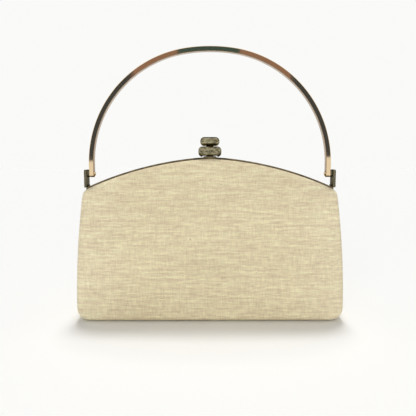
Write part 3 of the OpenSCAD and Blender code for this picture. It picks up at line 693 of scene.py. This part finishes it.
def strip_line():
    """Middle line of the base strip, from the left corner's top to the right one's."""
    foot = foot_centre(0, 0, CORNER_R)
    corner = arc_points(foot, CORNER_R, -math.pi / 2, bearing(SIDE_C, foot), STRIP_CORNER_STEPS)
    right = [Vector((0, 0))] + corner
    return spaced(mirrored(right) + right[1:], STRIP_STEPS)


def base_strip():
    line = strip_line()
    rows = [
        [(p[0], STRIP_HALF * (2 * j / STRIP_COLS - 1), p[1]) for j in range(STRIP_COLS + 1)]
        for p in line
    ]
    obj = open_sheet("base_strip", rows, 2, -1)
    thicken(obj, COVER_T)
    soften(obj)
    dress(obj, SILK, "cover_silk", "base_cover", body="root")


base_strip()

# Gussets: their foot is sewn inside the base strip's turned-up ends
FOOT_LAP, WALL_LAP, GUSSET_DROP = 2.0, 5.0, 5.6
GUSSET_BASE, WALL_TOP, GUSSET_TOP = CORNER_R - FOOT_LAP, FOLD_LOW_Z + WALL_LAP, SHOULDER_Z - GUSSET_DROP
BASE_PLEAT, TOP_PLEAT, SEAM_H, SEAM_PLAY = 2.5, 24.0, 12.0, 0.1
WALL_IN = COVER_T + SOFT_GAP + GUSSET_T
SEAM_OUT = WALL_IN - COVER_T - SEAM_PLAY - GUSSET_T / 2
RAIL_IN = RAIL_INSET + RAIL_WEB + INNER_WALL_H + SOFT_GAP + GUSSET_T
WALL_ROWS, PLEAT_ROWS = 12, 14


def gusset_line(z):
    """Middle line of the gusset at a height, from the front lining to the pleat's tip."""
    corner_fall = CORNER_R - math.sqrt(CORNER_R ** 2 - max(0.0, CORNER_R - z) ** 2)
    free = ease((z - GUSSET_BASE) / SEAM_H)
    x = half_width(max(z, CORNER_R)) - corner_fall + (1 - free) * SEAM_OUT
    rim = rim_depth(z) + GUSSET_T
    pleat = free * (BASE_PLEAT + (TOP_PLEAT - BASE_PLEAT) * (z - GUSSET_BASE) / (GUSSET_TOP - GUSSET_BASE))
    joined = ease((z - FOLD_LOW_Z) / (LEG_END_Z - FOLD_LOW_Z))
    corner, tip = Vector((x - WALL_IN, -rim)), Vector((x - WALL_IN - pleat, 0))
    folds = [corner.lerp(tip, s) for s in (1 / 3, 2 / 3)]
    rail = [Vector((x - RAIL_IN, y)) for y in (-(RAIL_DEPTH + SOFT_GAP + GUSSET_T), -RAIL_DEPTH / 2)]
    return [
        Vector((x - WALL_IN, -(half_depth(z) - ROOM_IN - GUSSET_T))),
        corner,
        folds[0].lerp(rail[0], joined),
        folds[1].lerp(rail[1], joined),
        tip - Vector((joined * GUSSET_T, 0)),
    ]


def gusset_sheet(name, side, z0, z1, steps):
    """One part of a gusset, with its flat width and height in metres."""
    rows = []
    for k in range(steps + 1):
        z = z0 + (z1 - z0) * k / steps
        half = gusset_line(z)
        line = half + [Vector((p[0], -p[1])) for p in reversed(half[:-1])]
        rows.append([(side * p[0], p[1], z) for p in line])
    obj = open_sheet(name, rows, 0, side)
    soften(obj, 2)
    thicken(obj, GUSSET_T, 0.0)
    obj.data.shade_smooth()
    height = (z1 - z0) * MM
    return obj, (area_of(obj) / 2 / height, height)


def gusset(side_name, side):
    """Fixed lower wall and the pleated upper part above it."""
    lower, flat = gusset_sheet(side_name + "_gusset_wall", side, GUSSET_BASE, WALL_TOP, WALL_ROWS)
    dress(lower, SILK, "cover_silk", side_name + "_gusset", body="root")
    upper, flat = gusset_sheet(side_name + "_gusset_pleat", side, FOLD_LOW_Z, GUSSET_TOP, PLEAT_ROWS)
    dress(upper, SILK, "cover_silk", side_name + "_gusset_fold")
    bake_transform(upper)


gusset("left", -1)
gusset("right", 1)

# Linings
LINING_EDGE, LINING_W = 5.0, 205.0
LINING_COLS, LINING_ROWS = 36, 20


def lining_sheet(name, sign):
    """Lining of one panel, with its flat width and height in metres."""
    grid = patch(outline(LINING_EDGE, LINING_COLS, LINING_ROWS))
    rows = [[(p[0], sign * (half_depth(p[1]) - LINING_IN), p[1]) for p in row] for row in grid]
    obj = open_sheet(name, rows, 1, sign)
    area = area_of(obj)
    thicken(obj, LINING_T)
    obj.data.shade_smooth()
    return obj, (LINING_W * MM, area / (LINING_W * MM))


front_lining, front_flat = lining_sheet("front_lining_satin", -1)
dress(front_lining, SATIN, "lining_satin", "front_lining_lower", "front_lining_fold", "front_lining_upper")
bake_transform(front_lining)
rear_lining, rear_flat = lining_sheet("rear_lining_satin", 1)
dress(rear_lining, SATIN, "lining_satin", "rear_lining", body="root")

POCKET_W, POCKET_H, POCKET_Z = 92.0, 56.0, 28.0
POCKET_COLS, POCKET_ROWS = 20, 14
HEM_STEP, POCKET_SLACK = 0.35, 0.5


def slip_pocket():
    """Patch pocket with a turned hem along its mouth."""
    rows = []
    for j in range(POCKET_ROWS + 1):
        z = POCKET_Z + POCKET_H * j / POCKET_ROWS
        on_lining = half_depth(z) - ROOM_IN - LAYER_GAP
        hem = HEM_STEP if j >= POCKET_ROWS - 1 else 0.0
        slack = POCKET_SLACK * ease(j / POCKET_ROWS) ** 2
        row = []
        for i in range(POCKET_COLS + 1):
            belly = slack * (1 - (2 * i / POCKET_COLS - 1) ** 2)
            row.append((POCKET_W * (i / POCKET_COLS - 0.5), on_lining - belly - hem, z))
        rows.append(row)
    obj = open_sheet("slip_pocket", rows, 1, 1)
    thicken(obj, LINING_T)
    obj.data.shade_smooth()
    dress(obj, SATIN, "lining_satin", "lining_pocket", body="root")


slip_pocket()

BASE_HALF = half_depth(0) - ROOM_IN - 3 * LAYER_GAP
BASE_SETBACK = 1.0
BASE_FLAT = half_width(CORNER_R) - CORNER_R - BASE_SETBACK
BASE_LINING_Z = LIFT + COVER_T + HEM_ROOM + BASE_BOARD_T + LAYER_GAP
BASE_LINING_CUTS = 12


def base_lining():
    obj = flat_plate("base_lining_satin", 2 * BASE_FLAT, 2 * BASE_HALF, (0, 0, BASE_LINING_Z))
    edit_all()
    bpy.ops.mesh.subdivide(number_cuts=BASE_LINING_CUTS)
    end_edit()
    thicken(obj, LINING_T, 1.0)
    dress(obj, SATIN, "lining_satin", "base_lining", body="root")


base_lining()

# Handle: legs, haunches and crown of a three-centred arch
PIN_PLAY, WASHER_T, PIVOT_DROP, LEG_H = 0.1, 1.4, 13.7, 8.0
BAR_T, BAR_DEPTH, BAR_BEVEL = 4.0, 5.6, 0.25
CROWN_SHARE, HAUNCH_SHARE = 1.34, 0.945
HANDLE_HALF = half_width(SHOULDER_Z) - RAIL_INSET + EYE_GAP - WASHER_T - PIN_PLAY
PIVOT_Z = BODY_H - PIVOT_DROP
SPRING_Z = PIVOT_Z + LEG_H
LEG_X = HANDLE_HALF - BAR_T / 2
CROWN_R, HAUNCH_R = HANDLE_HALF * CROWN_SHARE, HANDLE_HALF * HAUNCH_SHARE
CROWN_C = Vector((0, SPRING_Z - math.sqrt((CROWN_R - HAUNCH_R) ** 2 - (HANDLE_HALF - HAUNCH_R) ** 2)))
HAUNCH_C = Vector((HANDLE_HALF - HAUNCH_R, SPRING_Z))
HAUNCH_TURN = bearing(CROWN_C, HAUNCH_C)
TURN_STEPS, EYE_SIDES, HANDLE_SMOOTH = 40, 64, 28
# How far a face of the inner edge looks inwards at least, and to the rear at most
LOOKS_IN, LOOKS_BACK = 0.2, 0.3


def draw_leg(rise):
    bpy.ops.mesh.extrude_region_move(TRANSFORM_OT_translate={"value": (0, 0, rise * MM)})


def handle_eye(side):
    """Round foot of a leg, about the rivet."""
    bpy.ops.mesh.primitive_cylinder_add(
        vertices=EYE_SIDES, radius=BAR_DEPTH / 2 * MM, depth=BAR_T * MM, rotation=(0, math.pi / 2, 0),
        location=(side * LEG_X * MM, 0, PIVOT_Z * MM))
    eye = settle(bpy.context.object)
    return round_edges(eye, BAR_BEVEL, 1)


def handle_arch():
    """A bevelled flat section, drawn up the leg and spun round the haunch, the crown and the other haunch."""
    obj = flat_plate("handle_arch", BAR_T, BAR_DEPTH, (LEG_X, 0, PIVOT_Z))
    edit_all()
    bpy.ops.mesh.bevel(offset=BAR_BEVEL * MM * math.sqrt(2), offset_type="OFFSET",
                       affect="VERTICES", segments=1)
    bpy.ops.mesh.select_all(action="SELECT")
    draw_leg(SPRING_Z - PIVOT_Z)
    spin_section(HAUNCH_C, HAUNCH_TURN, TURN_STEPS)
    spin_section(CROWN_C, math.pi - 2 * HAUNCH_TURN, TURN_STEPS)
    spin_section((-HAUNCH_C[0], HAUNCH_C[1]), HAUNCH_TURN, TURN_STEPS)
    draw_leg(-(SPRING_Z - PIVOT_Z))
    end_edit()
    for side in (1, -1):
        handle_eye(side).select_set(True)
        obj.select_set(True)
        bpy.context.view_layer.objects.active = obj
        bpy.ops.object.join()
        deselect()
    face_out(obj)
    smooth_below(HANDLE_SMOOTH)
    dress(obj, GOLD, "handle_gold", "handle", body="handle")
    # The faces that look inwards take the inner edge's painted reflection
    obj.data.materials.append(EDGE_REFLECTION)
    for p in obj.data.polygons:
        outwards = p.normal[0] * p.center[0] + p.normal[2] * (p.center[2] - CROWN_C[1] * MM)
        if outwards < -LOOKS_IN * p.center.length and p.normal[1] < LOOKS_BACK:
            p.material_index = 1


handle_arch()

# Clasp knobs: node, body, length and radius
KNOBS = (
    ("front_clasp_knob", "front_half", 18.6, 4.2),
    ("rear_clasp_knob", "root", 15.6, 3.7),
)
KNOB_SIDES, KNOB_END_R, KNOB_END_STEPS = 96, 3.2, 10
PLATE_T, NECK_H, TENON_PLAY = 0.8, 0.1, 0.05
CUT_W, CUT_H = 12.0, 10.0
METAL_SMOOTH = 30


def seat_on_plate(knob):
    """Flattens the underside of the front knob over its plate."""
    deselect()
    bpy.ops.mesh.primitive_cube_add(size=1.0)
    cutter = bpy.context.object
    cutter.scale = (CUT_W * MM, 2 * RAIL_DEPTH * MM, CUT_H * MM)
    cutter.location = (0, -RAIL_DEPTH / 2 * MM, (BODY_H + PLATE_T + NECK_H + TENON_PLAY - CUT_H / 2) * MM)
    settle(cutter)
    finish_with(knob, "BOOLEAN", operation="DIFFERENCE", object=cutter, solver="EXACT")
    bpy.data.objects.remove(cutter)


def barrel_knob(node, body, length, radius):
    """A short barrel with softly rounded ends, in the place of its solid."""
    low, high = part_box(node)
    centre = [(a + b) / 2 for a, b in zip(low, high)]
    centre[2] = high[2] - radius * MM
    deselect()
    bpy.ops.mesh.primitive_cylinder_add(
        vertices=KNOB_SIDES, radius=radius * MM, depth=length * MM, rotation=(0, math.pi / 2, 0),
        location=centre)
    obj = settle(bpy.context.object)
    obj.name = node + "_barrel"
    round_edges(obj, KNOB_END_R, KNOB_END_STEPS)
    if node == "front_clasp_knob":
        seat_on_plate(obj)
    face_out(obj)
    smooth_below(METAL_SMOOTH)
    dress(obj, KNOB, "clasp_gold", node, body=body)


for knob in KNOBS:
    barrel_knob(*knob)

# Web of the frame under the clasp
CROWN_END, WEB_STEPS = 13.2, 6


def crown_web(side_name, sign, body):
    """Closes the frame's web over the arch's middle, where the solid is cut level."""
    y0, y1 = sign * PARTING / 2, sign * RAIL_DEPTH
    obj = flat_plate(side_name + "_frame_crown", RAIL_WEB, abs(y1 - y0),
                     (0, (y0 + y1) / 2, BODY_H - RAIL_WEB / 2), (0, math.pi / 2, 0))
    turn = math.asin((CROWN_END + ARCH_SPREAD / 2) / ARCH_R) - math.asin(ARCH_SPREAD / 2 / ARCH_R)
    edit_all()
    spin_section(ARCH_C, -turn, WEB_STEPS)
    end_edit()
    finish_with(obj, "MIRROR", use_axis=(True, False, False))
    face_out(obj)
    smooth_below(METAL_SMOOTH)
    dress(obj, RAIL, "frame_metal", body=body)


crown_web("front", -1, "front_half")
crown_web("rear", 1, "root")

# Metal and board that keep their solids
FINISHES = (
    (RAIL, ("front_frame", "rear_frame")),
    (FOOT, ("front_clasp_base",)),
    (BRASS, ("rear_clasp_base",)),
    (LUG, ("left_lug", "right_lug", "lug_rivets", "handle_washers", "left_hinge_rivet", "right_hinge_rivet")),
    (GOLD, ("left_handle_rivet", "right_handle_rivet")),
    (BOARD, ("base_board", "front_board_upper", "front_board_lower", "rear_board")),
)
for material, nodes in FINISHES:
    for node in nodes:
        coat(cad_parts[node], material)

# Floor, world and lamps
BACKDROP = (0.955, 0.955, 0.945, 1.0)
SOFT_LIGHT, SOFT_STRENGTH = (1.0, 0.995, 0.985, 1.0), 0.36
FLOOR_SIDE, FLOOR_TONE = 8000.0, (0.96, 0.96, 0.95, 1.0)
# Name, direction, strength and spread in degrees
LAMPS = (
    ("window_above", (-0.02, -0.32, -1.0), 1.78, 15.0),
    ("front_fill", (0.1, 1.0, -0.16), 1.52, 60.0),
)
# Cards that polished metal mirrors: name, depth, left, right, bottom, top and colour
DARK, COPPER, BOTTLE = (0.067, 0.077, 0.10, 1.0), (0.32, 0.21, 0.18, 1.0), (0.057, 0.105, 0.114, 1.0)
AHEAD, BEHIND, FARTHER = -1245.0, 1245.0, -1260.0
CARDS = (
    ("room_left", AHEAD, -440, -240, 108, 400, DARK),
    ("room_right", AHEAD, 265, 440, 120, 400, DARK),
    ("copper_left", AHEAD, -250, -98, 365, 480, COPPER),
    ("copper_right", AHEAD, 102, 275, 365, 480, COPPER),
    ("bottle_green", AHEAD, -98, 102, 440, 500, BOTTLE),
    ("photographer", FARTHER, -10, 10, 10, 1500, DARK),
    ("wall_left", AHEAD, -1900, -520, 0, 600, DARK),
    ("wall_right", AHEAD, 520, 1900, 0, 600, DARK),
    ("wall_behind", BEHIND, -600, 600, 150, 2500, DARK),
)


def light_world():
    """Rays from the camera and in reflections see the backdrop, and the others a dimmer soft light."""
    world = bpy.data.worlds.new("studio")
    bpy.context.scene.world = world
    world.use_nodes = True
    tree = world.node_tree
    tree.nodes.clear()
    seen = add(tree, "ShaderNodeBackground", Color=BACKDROP)
    soft = add(tree, "ShaderNodeBackground", Color=SOFT_LIGHT, Strength=SOFT_STRENGTH)
    path = add(tree, "ShaderNodeLightPath")
    shown = path.outputs["Is Camera Ray"]
    for ray in ("Is Glossy Ray", "Is Transmission Ray"):
        shown = figured(tree, "MAXIMUM", shown, path.outputs[ray])
    mix = add(tree, "ShaderNodeMixShader")
    out = add(tree, "ShaderNodeOutputWorld")
    tree.links.new(shown, mix.inputs[0])
    tree.links.new(soft.outputs[0], mix.inputs[1])
    tree.links.new(seen.outputs[0], mix.inputs[2])
    tree.links.new(mix.outputs[0], out.inputs["Surface"])


def pale_floor():
    floor = flat_plate("floor", FLOOR_SIDE, FLOOR_SIDE, (0, 0, 0))
    mat, _, shader = node_material("pale_floor")
    give(shader, Base_Color=FLOOR_TONE, Roughness=0.95, Specular_IOR_Level=0.1)
    coat(floor, mat)


def soft_sun(name, towards, strength, spread):
    data = bpy.data.lights.new(name, "SUN")
    data.energy = strength
    data.angle = math.radians(spread)
    lamp = bpy.data.objects.new(name, data)
    bpy.context.collection.objects.link(lamp)
    lamp.rotation_euler = Vector(towards).to_track_quat("-Z", "Y").to_euler()
    lamp.visible_glossy = False


def reflection_card(name, y, x0, x1, z0, z1, colour):
    """An upright card that only shows in polished metal; its sides are given in millimetres."""
    card = flat_plate(name, x1 - x0, z1 - z0, ((x0 + x1) / 2, y, (z0 + z1) / 2), (math.pi / 2, 0, 0))
    mat = bpy.data.materials.new(name)
    mat.use_nodes = True
    tree = mat.node_tree
    tree.nodes.clear()
    glow = add(tree, "ShaderNodeEmission", Color=colour)
    out = add(tree, "ShaderNodeOutputMaterial")
    tree.links.new(glow.outputs[0], out.inputs["Surface"])
    coat(card, mat)
    for ray in ("camera", "diffuse", "transmission", "volume_scatter", "shadow"):
        setattr(card, "visible_" + ray, False)


light_world()
pale_floor()
for lamp in LAMPS:
    soft_sun(*lamp)
for card in CARDS:
    reflection_card(*card)
